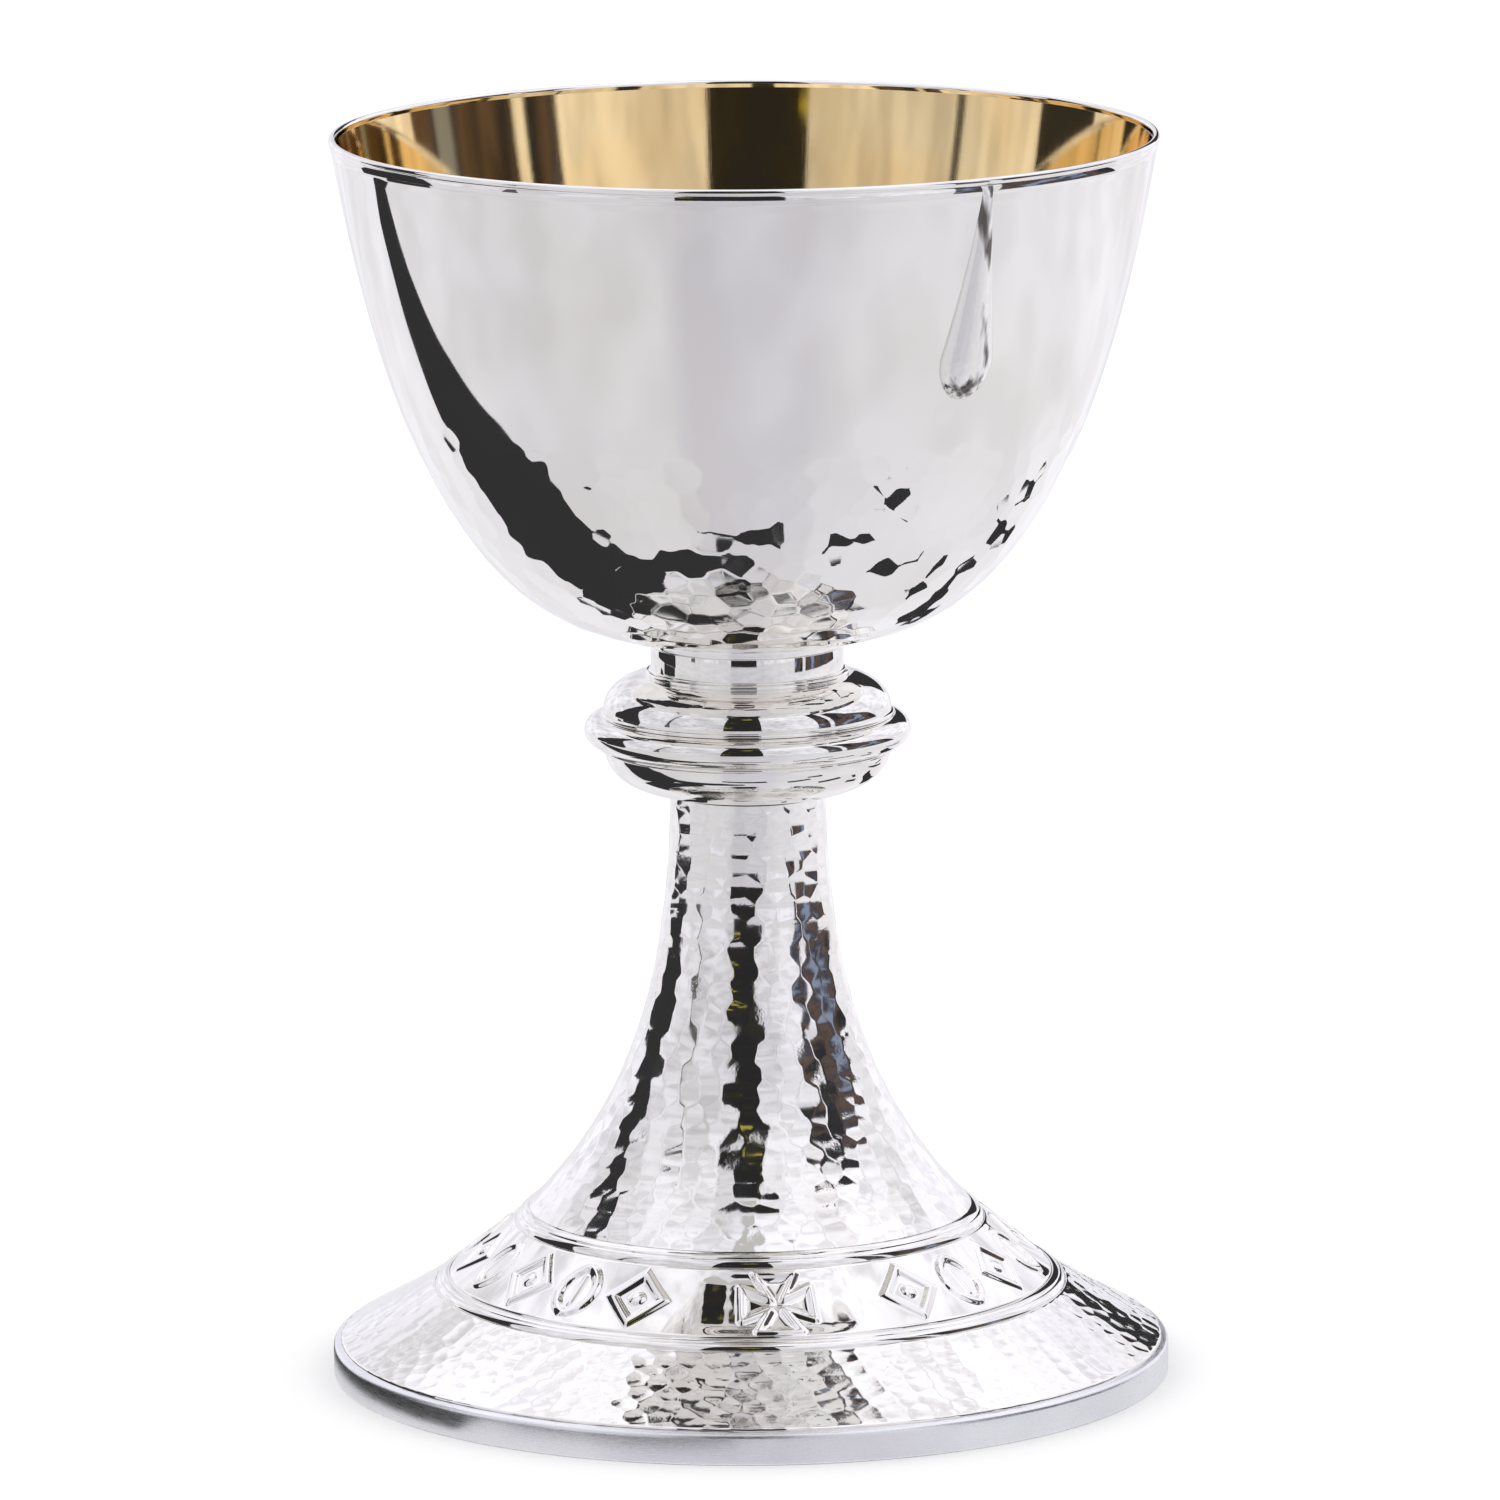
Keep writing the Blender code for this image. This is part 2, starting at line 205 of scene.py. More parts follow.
def skin(name, rings, closed, sharp=35):
    """A mesh over rings of points that run down the outer side; it closes on itself or ends in poles."""
    rows, columns = rings.shape[:2]
    points = rings.reshape(-1, 3)
    index = np.arange(rows * columns).reshape(rows, columns)
    below = np.roll(index, -1, axis=0) if closed else index[1:]
    above = index if closed else index[:-1]
    quads = np.stack([above, below, np.roll(below, -1, axis=1), np.roll(above, -1, axis=1)], axis=2)
    faces = quads.reshape(-1, 4).tolist()
    vertices = points.tolist()
    if not closed:
        for ring, flip in ((index[0], False), (index[-1], True)):
            pole = len(vertices)
            vertices.append(points[ring].mean(axis=0).tolist())
            pairs = zip(ring.tolist(), np.roll(ring, -1).tolist())
            faces += [(pole, b, a) if flip else (pole, a, b) for a, b in pairs]
    mesh = bpy.data.meshes.new(name)
    mesh.from_pydata(vertices, [], faces)
    mesh.shade_smooth()
    mesh.set_sharp_from_angle(angle=radians(sharp))
    obj = bpy.data.objects.new(name, mesh)
    bpy.context.scene.collection.objects.link(obj)
    return obj


def piece(obj, node, material):
    """Put a new piece in the place of its CAD node."""
    obj.data.materials.append(material)
    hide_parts(node)
    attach(obj, "root")


def turned_piece(node, outline, columns, material, sharp=35):
    obj = skin(node + "_turned", revolve(outline, columns), closed=True, sharp=sharp)
    piece(obj, node, material)


# Hammer work


def hammered(curve, stations, columns, zone, blows, rng, depth=None):
    """How far each point of a grid lies below (-) or above (+) the curve's surface after planishing.

    Each blow leaves a shallow dish, nearly flat and a little tilted, and the surface that is left is
    the lowest of them all. depth(s) is how deep the blows bite, where they start beside unstruck metal.
    """
    angle = column_angles(columns)
    total = np.full((len(stations), columns), 0.0 if depth else -np.inf)
    radius_at = curve.radius(stations)
    rows = max(1, int(round((zone[1] - zone[0]) / blows.row_pitch)))
    for row in range(-1, rows + 2):
        centre = zone[0] + row * (zone[1] - zone[0]) / rows
        near = np.nonzero(np.abs(stations - centre) < BLOW_REACH_ROWS * blows.row_pitch)[0]
        radius = float(curve.radius(centre))
        count = max(8, int(round(FULL_TURN * radius / blows.column_pitch)))
        turn = FULL_TURN / count
        phase = rng.uniform(-BRICK_SLIP, BRICK_SLIP) + 0.5 * (row % 2) if blows.brick else rng.random()
        blow_angle = (np.arange(count) + phase + blows.jitter * rng.uniform(-1, 1, count)) * turn
        blow_s = centre + blows.jitter * blows.row_pitch * rng.uniform(-1, 1, count)
        lean_u, lean_s = rng.normal(0, blows.tilt, (2, count))
        bite = rng.uniform(-1, 1, count) * BITE_SPREAD
        if depth:
            bite = bite + depth(blow_s) + rng.normal(0, FADING_BITE_SPREAD, count)
        if not len(near):
            continue
        bend_u = min(float(curve.read(curve.normals[:, 0], centre)) / radius + blows.dish, blows.most_bend)
        bend_s = max(float(curve.read(curve.bends, centre)) + blows.dish, blows.least_bend)
        nearest = np.floor(angle / turn - phase).astype(int)
        for step in (-1, 0, 1, 2):
            j = (nearest + step) % count
            away = (angle - blow_angle[j] + pi) % FULL_TURN - pi
            u = radius_at[near, None] * away[None, :]
            s = stations[near, None] - blow_s[j][None, :]
            level = lean_u[j] * u + lean_s[j] * s + bend_u * u * u / 2 + bend_s * s * s / 2 - bite[j]
            total[near] = np.logaddexp(total[near], -level / SEAM_SOFTNESS)
    return -SEAM_SOFTNESS * total


def displaced(curve, stations, columns, height):
    """Rings of points on the curve's surface of revolution, moved out by height (rows x columns)."""
    out_r, out_z = curve.normal(stations)
    r = curve.radius(stations)[:, None] + height * out_r[:, None]
    z = curve.height(stations)[:, None] + height * out_z[:, None]
    return turned_rings(r, z, columns)


def shell_rings(curve, stations, columns, height):
    """A closed ring of sheet: a detailed face and a plain back."""
    face = displaced(curve, stations, columns, height)
    back = curve.place(spaced(stations[-1], stations[0], BACK_STEP), -SHEET)
    return np.concatenate([face, revolve(back, columns)])


def edge_distance(stations):
    """How far each station is from the nearer end, as a column."""
    return np.minimum(stations - stations[0], stations[-1] - stations)[:, None]


def rolled_edges(stations):
    """A sheet's edges turn down a little where they are soldered to a wire."""
    inwards = np.clip(1 - edge_distance(stations) / SOLDERED_EDGE_WIDTH, 0, 1)
    return -SOLDERED_EDGE_DEPTH * inwards**2


# Materials


class Graph:
    """A material's nodes, with short ways to add and link them."""

    def __init__(self, name):
        self.material = bpy.data.materials.new(name)
        self.material.use_nodes = True
        self.tree = self.material.node_tree

    def add(self, kind, **values):
        node = self.tree.nodes.new(kind)
        for key, value in values.items():
            setattr(node, key, value)
        return node

    def link(self, source, socket):
        self.tree.links.new(source, socket)

    def coordinates(self):
        return self.add("ShaderNodeTexCoord").outputs["Object"]

    def split(self, vector):
        node = self.add("ShaderNodeSeparateXYZ")
        self.link(vector, node.inputs[0])
        return node.outputs

    def math(self, operation, a, b):
        node = self.add("ShaderNodeMath", operation=operation)
        for socket, value in zip(node.inputs, (a, b)):
            if isinstance(value, (int, float)):
                socket.default_value = value
            else:
                self.link(value, socket)
        return node.outputs[0]

    def stretched(self, scale):
        """Object coordinates, stretched."""
        node = self.add("ShaderNodeMapping")
        node.inputs["Scale"].default_value = scale
        self.link(self.place, node.inputs["Vector"])
        return node.outputs["Vector"]

    def noise(self, vector, scale, detail=2.0, rough=0.5):
        node = self.add("ShaderNodeTexNoise")
        node.inputs["Scale"].default_value = scale
        node.inputs["Detail"].default_value = detail
        node.inputs["Roughness"].default_value = rough
        self.link(vector, node.inputs["Vector"])
        return node.outputs[0]

    def ramp(self, value, stops):
        """Colours for a value, from (position, colour) stops."""
        node = self.add("ShaderNodeValToRGB")
        elements = node.color_ramp.elements
        while len(elements) < len(stops):
            elements.new(0.5)
        for element, (position, colour) in zip(elements, sorted(stops)):
            element.position = position
            element.color = (*colour, 1.0)
        self.link(value, node.inputs["Fac"])
        return node.outputs["Color"]


class Metal(Graph):
    """A metal whose colour, roughness and surface change a little from place to place."""

    def __init__(self, name, colour, roughness):
        super().__init__(name)
        self.shader = self.tree.nodes["Principled BSDF"]
        self.shader.inputs["Base Color"].default_value = (*colour, 1.0)
        self.shader.inputs["Metallic"].default_value = 1.0
        self.shader.inputs["Roughness"].default_value = roughness
        self.place = self.coordinates()

    def around(self, per_turn, per_metre_up):
        """Coordinates that run round the chalice's axis and up it, for marks left on the lathe."""
        split = self.split(self.place)
        turn = self.math("ARCTAN2", split["Y"], split["X"])
        join = self.add("ShaderNodeCombineXYZ")
        self.link(self.math("MULTIPLY", turn, per_turn / FULL_TURN), join.inputs["X"])
        self.link(self.math("MULTIPLY", split["Z"], per_metre_up), join.inputs["Z"])
        return join.outputs[0]

    def spread(self, value, low, high, start=0.3, end=0.7):
        """A noise value's middle part, from start to end, spread over low to high."""
        node = self.add("ShaderNodeMapRange")
        node.inputs["From Min"].default_value = start
        node.inputs["From Max"].default_value = end
        node.inputs["To Min"].default_value = low
        node.inputs["To Max"].default_value = high
        self.link(value, node.inputs["Value"])
        return node.outputs["Result"]

    def colours(self, value, first, second, start=0.35, end=0.65):
        self.link(self.ramp(value, [(start, first), (end, second)]), self.shader.inputs["Base Color"])

    def roughness(self, value, low, high):
        self.link(self.spread(value, low, high), self.shader.inputs["Roughness"])

    def bump(self, height, distance, after=None):
        node = self.add("ShaderNodeBump")
        node.inputs["Distance"].default_value = distance
        node.inputs["Strength"].default_value = 1.0
        self.link(height, node.inputs["Height"])
        if after:
            self.link(after, node.inputs["Normal"])
        self.link(node.outputs["Normal"], self.shader.inputs["Normal"])
        return node.outputs["Normal"]


SILVER, SILVER_WARM = (0.960, 0.945, 0.915), (0.935, 0.905, 0.855)


def polished_silver():
    """Mirror silver: clouds of very light tarnish, a few handling marks and polishing hairlines."""
    metal = Metal("polished_silver", SILVER, 0.03)
    metal.colours(metal.noise(metal.place, 45, 3), SILVER_WARM, SILVER, 0.30, 0.62)
    metal.roughness(metal.noise(metal.place, 130, 4, 0.6), 0.015, 0.05)
    hairlines = metal.noise(metal.stretched((900, 900, 6000)), 1.0, 3, 0.7)
    smooth = metal.bump(metal.noise(metal.place, 60, 1), 0.04 * MM)
    metal.bump(hairlines, 0.0006 * MM, after=smooth)
    return metal.material


def hammered_silver():
    """Planished silver: the hammer's face leaves fine marks in some facets."""
    metal = Metal("hammered_silver", SILVER, 0.04)
    metal.colours(metal.noise(metal.place, 60, 3), SILVER_WARM, SILVER, 0.32, 0.60)
    metal.roughness(metal.noise(metal.place, 210, 3, 0.6), 0.02, 0.09)
    crinkle = metal.noise(metal.place, 700, 4, 0.6)
    some = metal.spread(metal.noise(metal.place, 160, 1), 0.0, 1.0, 0.50, 0.66)
    metal.bump(metal.math("MULTIPLY", crinkle, some), 0.030 * MM)
    return metal.material


def dressed_silver():
    """Silver dressed with a scraper and half polished: soft uneven marks down its length."""
    metal = Metal("dressed_silver", SILVER, 0.1)
    strokes = metal.noise(metal.stretched((1100, 1100, 140)), 1.0, 3, 0.6)
    streaks = metal.noise(metal.stretched((330, 330, 60)), 1.0, 3, 0.5)
    metal.colours(streaks, (0.16, 0.14, 0.13), SILVER, 0.37, 0.47)
    metal.roughness(strokes, 0.05, 0.22)
    uneven = metal.bump(metal.noise(metal.stretched((420, 420, 150)), 1.0, 2), 0.16 * MM)
    metal.bump(strokes, 0.02 * MM, after=uneven)
    return metal.material


def satin_silver():
    """Silver brushed round the rim: fine lines that run with the turning."""
    metal = Metal("satin_silver", (0.90, 0.90, 0.91), 0.3)
    lines = metal.noise(metal.around(90, 9000), 1.0, 3, 0.7)
    metal.colours(metal.noise(metal.place, 70, 3), (0.86, 0.86, 0.87), (0.96, 0.96, 0.97), 0.3, 0.7)
    metal.roughness(lines, 0.20, 0.38)
    metal.bump(lines, 0.010 * MM)
    return metal.material


def gilding():
    """Gold plating, burnished up and down the wall, so that reflections are drawn out a little."""
    metal = Metal("gilt", (0.95, 0.72, 0.42), 0.08)
    metal.colours(metal.noise(metal.place, 50, 3), (0.97, 0.70, 0.33), (0.99, 0.77, 0.42))
    strokes = metal.noise(metal.around(2600, 60), 1.0, 3, 0.7)
    metal.roughness(strokes, 0.02, 0.08)
    metal.bump(strokes, 0.0016 * MM)
    return metal.material


def steel():
    """Turned steel, for the fixing that holds the chalice together."""
    metal = Metal("steel", (0.55, 0.55, 0.56), 0.3)
    metal.colours(metal.noise(metal.place, 90, 3), (0.42, 0.42, 0.43), (0.62, 0.62, 0.63))
    lines = metal.noise(metal.around(40, 7000), 1.0, 2)
    metal.roughness(lines, 0.22, 0.42)
    metal.bump(lines, 0.008 * MM)
    return metal.material


# The cup


def make_cup(silver, rng):
    """The raised bowl: smooth above, planished below, with a rounded lip and a plain inner wall."""
    curve = Curve(CUP_CURVE)
    columns = 780
    blows_top = curve.at_height(CUP_BLOWS_TOP_Z)
    hidden = curve.at_radius(15.0 * MM)
    stations = np.concatenate([
        spaced(0.0, blows_top, 1.2 * MM)[:-1],
        spaced(blows_top, hidden, 0.40 * MM),
        spaced(hidden, curve.length, 3 * MM)[1:-1],
    ])
    deepest, unstruck = 0.26 * MM, 0.016 * MM

    def depth(s):
        return deepest * smoothstep((s - blows_top) / CUP_BLOWS_FADE) - unstruck

    height = hammered(curve, stations, columns, (blows_top, hidden), CUP_BLOWS, rng, depth)
    lip_end = 1.4 * MM
    outer = displaced(curve, stations, columns, height)[np.searchsorted(stations, lip_end):]
    bead = 0.58 * MM
    lip = np.concatenate([
        arc((RIM_RADIUS - CUP_WALL / 2, LIP_Z - bead), bead, 190, -55, 14),
        [(RIM_RADIUS - 0.02 * MM, LIP_Z - 2.1 * bead)],
    ])
    behind_gilding = 0.12 * MM
    inner = curve.place(spaced(curve.length, 1.2 * MM, 3 * MM)[1:], -CUP_WALL + behind_gilding)
    rings = np.concatenate([revolve(inner, columns), revolve(lip, columns), outer])
    cup = skin("cup_raised", rings, closed=False, sharp=60)
    piece(cup, "cup", silver)


def make_gilding(gilt):
    """The gilt inside, as a skin of its own along the cup's inner wall."""
    curve = Curve(CUP_CURVE)
    plating = 0.02 * MM
    depths = spaced(curve.length, 0.9 * MM, 1.2 * MM)[1:]
    front = curve.place(depths, -CUP_WALL - plating)
    back = curve.place(depths, -CUP_WALL + plating)[::-1]
    gold = skin("cup_gilding", revolve(np.concatenate([front, back]), 480), closed=False, sharp=60)
    gold.data.materials.append(gilt)
    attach(gold, "root")


def make_drop(silver):
    """The soldered drop: a thin neck that spreads where it meets the lip, and a full round end."""
    curve = Curve(CUP_CURVE)
    azimuth = radians(35)
    start, end = curve.at_height(198.9 * MM), curve.at_height(164.6 * MM)
    stations, sides = 72, 40
    neck_width, full_width = 0.75 * MM, 4.8 * MM
    neck_height, full_height = 0.75 * MM, 3.2 * MM
    back_depth, sunk = 0.25 * MM, 0.03 * MM
    fullest = 0.80

    along = np.linspace(0, 1, stations)
    rise = np.clip(along / fullest, 0, 1)
    round_end = np.sqrt(np.clip(1 - ((along - fullest) / (1 - fullest)) ** 2, 0, 1))
    past_fullest = along > fullest
    neck_to_full = neck_width + (full_width - neck_width) * rise**1.2
    half_width = np.where(past_fullest, full_width * round_end, neck_to_full)
    half_width = half_width + 1.0 * MM * np.exp(-along / 0.018)
    neck_to_full = neck_height + (full_height - neck_height) * rise**1.3
    proud = np.where(past_fullest, full_height * round_end**1.2, neck_to_full)
    proud = proud * (0.45 + 0.55 * smoothstep(along / 0.05))

    rings = []
    turn = np.linspace(0, FULL_TURN, sides, endpoint=False)
    swing = np.abs(np.sin(turn))
    for s, width, height in zip(start + (end - start) * along, half_width, proud):
        radius, z = curve.place(np.array([s]))[0]
        out_r, out_z = curve.normal(s)
        across = width * np.cos(turn)
        up = np.where(np.sin(turn) >= 0, height * swing**1.25, -back_depth * swing)
        up = up - across**2 / (2 * radius) - sunk
        r = radius + up * out_r
        x = r * sin(azimuth) + across * cos(azimuth)
        y = -r * cos(azimuth) + across * sin(azimuth)
        rings.append(np.stack([x, y, z + up * out_z], axis=1))
    drop = skin("bowl_drop_soldered", np.array(rings)[:, ::-1], closed=False, sharp=70)
    piece(drop, "bowl_drop", silver)


# The collar and the knop

TURNED_COLUMNS = 224


def make_collar(silver):
    """The seat ring under the cup, the plain tube, and the small double bead on the knop."""
    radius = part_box("collar_tube")[1].x
    seat_z = (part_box("cup_seat_ring")[0].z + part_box("collar_tube")[1].z) / 2
    floor_z = (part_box("collar_bead")[1].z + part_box("collar_tube")[0].z) / 2
    knop_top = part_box("knop_upper_shell")[1].z
    edge = 0.16 * MM
    bore = 11.8 * MM
    wall = radius - SHEET

    flare = cubic((
        (radius + 0.75 * MM, CUP_BOTTOM_Z + 0.45 * MM),
        (radius, CUP_BOTTOM_Z + 0.1 * MM),
        (radius, CUP_BOTTOM_Z),
        (radius, seat_z + 2 * edge),
    ), 8)
    seat = np.concatenate([
        [(bore, CUP_BOTTOM_Z + 0.35 * MM)],
        flare,
        arc((radius - edge, seat_z + edge), edge, 0, -90, 4),
        [(bore, seat_z)],
    ])
    turned_piece("cup_seat_ring", seat, TURNED_COLUMNS, silver)

    tube = np.concatenate([
        [(wall, seat_z)],
        arc((radius - edge, seat_z - edge), edge, 90, 0, 4),
        [(radius, floor_z), (wall, floor_z)],
    ])
    turned_piece("collar_tube", tube, TURNED_COLUMNS, silver)

    height = floor_z - knop_top
    bead = np.concatenate([
        [(wall, floor_z)],
        arc((radius, floor_z - 0.28 * height), 0.28 * height, 90, -60, 6),
        arc((radius + 0.35 * MM, knop_top + 0.30 * height), 0.42 * height, 60, -70, 8),
        [(wall, knop_top - 0.1 * MM)],
    ])
    turned_piece("collar_bead", bead, TURNED_COLUMNS, silver)


def make_knop(silver):
    """Two domed shells with a half-round girdle between them."""
    top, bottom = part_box("knop_upper_shell")[1].z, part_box("knop_lower_shell")[0].z
    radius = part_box("knop_upper_shell")[1].x
    girdle_low, girdle_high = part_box("knop_girdle")
    bore = 8 * MM
    fillet = 0.38 * MM

    dome = cubic((
        (15.0 * MM, top),
        (20.4 * MM, top),
        (radius, top - 2.9 * MM),
        (radius - 0.1 * MM, girdle_high.z + 2.1 * fillet),
    ), 30)
    lining = cubic((
        (radius - SHEET, girdle_high.z + 0.8 * MM),
        (radius - SHEET, top - 3.4 * MM),
        (19.6 * MM, top - SHEET),
        (14.4 * MM, top - SHEET),
    ), 16)
    upper = np.concatenate([
        [(bore, top)],
        dome,
        arc((radius - 0.05 * MM, girdle_high.z + fillet), fillet, 70, -90, 6),
        [(radius - SHEET, girdle_high.z)],
        lining,
        [(bore, top - SHEET)],
    ])
    turned_piece("knop_upper_shell", upper, TURNED_COLUMNS, silver, sharp=50)

    half = (girdle_high.z - girdle_low.z) / 2
    inset = 0.2 * MM
    swell = girdle_high.x - radius + inset
    turn = np.radians(np.linspace(90, -90, 25))
    half_round = np.stack([
        radius - inset + swell * np.cos(turn) ** 0.8,
        girdle_low.z + half + half * np.sin(turn),
    ], axis=1)
    inner = radius - 2 * MM
    girdle = np.concatenate([[(inner, girdle_high.z)], half_round, [(inner, girdle_low.z)]])
    turned_piece("knop_girdle", girdle, TURNED_COLUMNS, silver, sharp=60)

    dome = cubic((
        (radius - 0.25 * MM, girdle_low.z - 2.1 * fillet),
        (radius - 0.6 * MM, girdle_low.z - 4.0 * MM),
        (20.0 * MM, bottom + 0.7 * MM),
        (12.3 * MM, bottom),
    ), 30)
    lining = cubic((
        (12.3 * MM, bottom + SHEET),
        (18.8 * MM, bottom + 0.8 * MM + SHEET),
        (radius - 1.7 * MM, girdle_low.z - 3.5 * MM),
        (radius - SHEET - 0.3 * MM, girdle_low.z - 2.1 * fillet),
    ), 16)
    lower = np.concatenate([
        [(radius - SHEET, girdle_low.z)],
        arc((radius + 0.15 * MM, girdle_low.z - fillet), fillet, 90, -70, 6),
        dome,
        [(bore, bottom), (bore, bottom + SHEET)],
        lining,
    ])
    turned_piece("knop_lower_shell", lower, TURNED_COLUMNS, silver, sharp=50)


# The foot


def make_stem(curve, end, planished, rng):
    """The hammered trumpet. Its facets start softly under the knop."""
    columns = 420
    stations = spaced(0.0, end, 0.36 * MM)
    height = hammered(curve, stations, columns, (0.0, end), STEM_BLOWS, rng)
    clearance, soft_start = 0.04 * MM, 1.5 * MM
    height = (height - clearance) * (0.3 + 0.7 * smoothstep(stations / soft_start)[:, None])
    stem = skin("stem_hammered", shell_rings(curve, stations, columns, height), closed=True, sharp=60)
    piece(stem, "stem", planished)


def make_skirt(curve, start, planished, rng):
    """The hammered slope, struck in rows, that ends under the rim band's rounded top."""
    columns = 1000
    end = curve.at_radius(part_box("foot_skirt")[1].x + 0.5 * MM)
    stations = spaced(start, end, 0.29 * MM)
    clearance = 0.03 * MM
    height = hammered(curve, stations, columns, (start, end), SKIRT_BLOWS, rng) - clearance
    height += rolled_edges(stations)
    skirt = skin("foot_skirt_hammered", shell_rings(curve, stations, columns, height), closed=True, sharp=60)
    piece(skirt, "foot_skirt", planished)


def make_wire(curve, start, end, node, silver):
    """A border: a broad soft bead with a fine groove along its crown."""
    columns = 400
    stations = spaced(start, end, 0.09 * MM)
    across = (stations - start) / (end - start) * 2 - 1
    bead = 0.42 * MM * (1 - np.abs(across) ** 2.6) - 0.10 * MM
    groove = -0.10 * MM * np.exp(-((across / 0.12) ** 2))
    height = np.repeat((bead + groove)[:, None], columns, axis=1)
    wire = skin(node + "_drawn", shell_rings(curve, stations, columns, height), closed=True, sharp=60)
    piece(wire, node, silver)


def ridge(distance, half_width, height):
    """The height of a soft rounded ridge at a distance from its line."""
    return height * np.clip(1 - (distance / half_width) ** 2, 0, None) ** 1.3


def cross_outline():
    """The corners of a cross with flared arms, right round."""
    half, waist, flare = 5.75 * MM, 1.15 * MM, 3.4 * MM
    arm = np.array([(waist, waist), (flare, half), (-flare, half)])
    quarter = np.array([(0.0, -1.0), (1.0, 0.0)])
    corners = []
    for _ in range(4):
        corners.append(arm)
        arm = arm @ quarter.T
    return np.concatenate(corners)


def outline_distance(x, y, corners):
    """Distance to a closed outline, and whether a point is inside it."""
    distance = np.full(x.shape, np.inf)
    inside = np.zeros(x.shape, bool)
    for (ax, ay), (bx, by) in zip(corners, np.roll(corners, -1, axis=0)):
        ex, ey = bx - ax, by - ay
        t = np.clip(((x - ax) * ex + (y - ay) * ey) / (ex * ex + ey * ey), 0, 1)
        distance = np.minimum(distance, np.hypot(x - ax - t * ex, y - ay - t * ey))
        crosses = (ay > y) != (by > y)
        reach = ax + (y - ay) * ex / (ey if ey else 1e-12)
        inside ^= crosses & (x < reach)
    return distance, inside


def cross_relief(x, y):
    """A ridge round the cross, and arms that sink to a crease along their middles."""
    distance, inside = outline_distance(x, y, cross_outline())
    slope, sinking = 1.4 * MM, 0.24 * MM
    sunk = np.where(inside, np.minimum(distance / slope, 1), 0)
    return ridge(distance, 0.68 * MM, 0.44 * MM) - sinking * sunk


def lozenge_relief(x, y):
    """A tall lozenge drawn by a ridge, with a round boss in its middle."""
    half_x, half_y = 4.4 * MM, MOTIF_HALF_HEIGHT
    to_line = half_x * half_y / np.hypot(half_x, half_y)
    distance = np.abs(np.abs(x) / half_x + np.abs(y) / half_y - 1) * to_line
    boss_radius, boss_height = 1.3 * MM, 0.50 * MM
    boss = boss_height * np.sqrt(np.clip(1 - (np.hypot(x, y) / boss_radius) ** 2, 0, None))
    return np.maximum(ridge(distance, *MOTIF_RIDGE), boss)


def leaf_relief(x, y):
    """An upright pointed leaf: two arcs and a midrib."""
    half_x, half_y = 3.2 * MM, MOTIF_HALF_HEIGHT
    radius = (half_x**2 + half_y**2) / (2 * half_x)
    distance = np.abs(np.hypot(np.abs(x) + radius - half_x, y) - radius)
    blade = np.where(np.abs(y) < half_y + 0.4 * MM, ridge(distance, *MOTIF_RIDGE), 0)
    tips = smoothstep((0.72 * half_y - np.abs(y)) / (0.9 * MM))
    midrib = ridge(np.abs(x), 0.55 * MM, 0.34 * MM) * tips
    return np.maximum(blade, midrib)


def make_band(curve, start, end, silver):
    """The smooth band: a dished panel round the cross, then lozenges and leaves in turn."""
    columns = 1100
    stations = spaced(start, end, 0.22 * MM)
    middle = (start + end) / 2
    radius = curve.radius(middle)
    height = np.zeros((len(stations), columns))
    angle = column_angles(columns)

    def away_from(azimuth):
        """Each column's angle from an azimuth, which is 0 at the front and grows to the right."""
        return (angle + pi / 2 - azimuth + pi) % FULL_TURN - pi

    # A motif widens towards the foot, but by less than half as much as the band does.
    width_radius = 0.45 * curve.radius(stations)[:, None] + 0.55 * radius
    up = (middle - stations)[:, None]
    motifs = int(round(FULL_TURN / MOTIF_PITCH))
    for i in range(motifs):
        away = away_from(CROSS_AZIMUTH + i * MOTIF_PITCH)
        near = np.abs(away) * radius < 9 * MM
        x = width_radius * away[None, near]
        y = np.broadcast_to(up, x.shape)
        if i == 0:
            height[:, near] += cross_relief(x, y)
        elif 2 <= i <= motifs - 2:
            relief = lozenge_relief if i % 2 == 0 else leaf_relief
            height[:, near] += relief(x, y)

    panel_half, panel_fade, panel_depth = 8.0 * MM, 5.5 * MM, 0.34 * MM
    panel = 1 - smoothstep((np.abs(away_from(CROSS_AZIMUTH)) * radius - panel_half) / panel_fade)
    height -= panel_depth * panel[None, :] * smoothstep(edge_distance(stations) / (3.0 * MM))
    height += rolled_edges(stations)
    band = skin("foot_band_relief", shell_rings(curve, stations, columns, height), closed=True, sharp=60)
    piece(band, "foot_band", silver)


def make_rim_band(curve, satin):
    """The standing rim, rounded over at its top, where the skirt's edge tucks in."""
    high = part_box("rim_band")[1]
    radius, top = high.x, high.z
    wall, soft, shoulder = 1.8 * MM, 0.35 * MM, 0.8 * MM
    skirt_end = curve.at_radius(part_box("foot_skirt")[1].x + 0.2 * MM)
    skirt_r, skirt_z = curve.place(np.array([skirt_end]))[0]
    outline = np.concatenate([
        [(radius - wall, top - 1.6 * MM), (skirt_r - 0.3 * MM, skirt_z - 0.25 * MM)],
        arc((radius - shoulder, top - 0.75 * MM), shoulder, 75, 0, 10),
        spaced_line((radius, top - shoulder), (radius, soft), 6),
        arc((radius - soft, soft), soft, 0, -90, 6),
        [(radius - wall, 0.0)],
    ])
    turned_piece("rim_band", outline, 480, satin, sharp=50)


# The fixing inside the stem


def make_plate(node, metal):
    """A flat ring with rounded outer edges."""
    low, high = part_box(node)
    hole, soft = 3.4 * MM, 0.3 * MM
    outline = np.concatenate([
        [(hole, high.z)],
        arc((high.x - soft, high.z - soft), soft, 90, 0, 3),
        arc((high.x - soft, low.z + soft), soft, 0, -90, 3),
        [(hole, low.z)],
    ])
    turned_piece(node, outline, 96, metal)


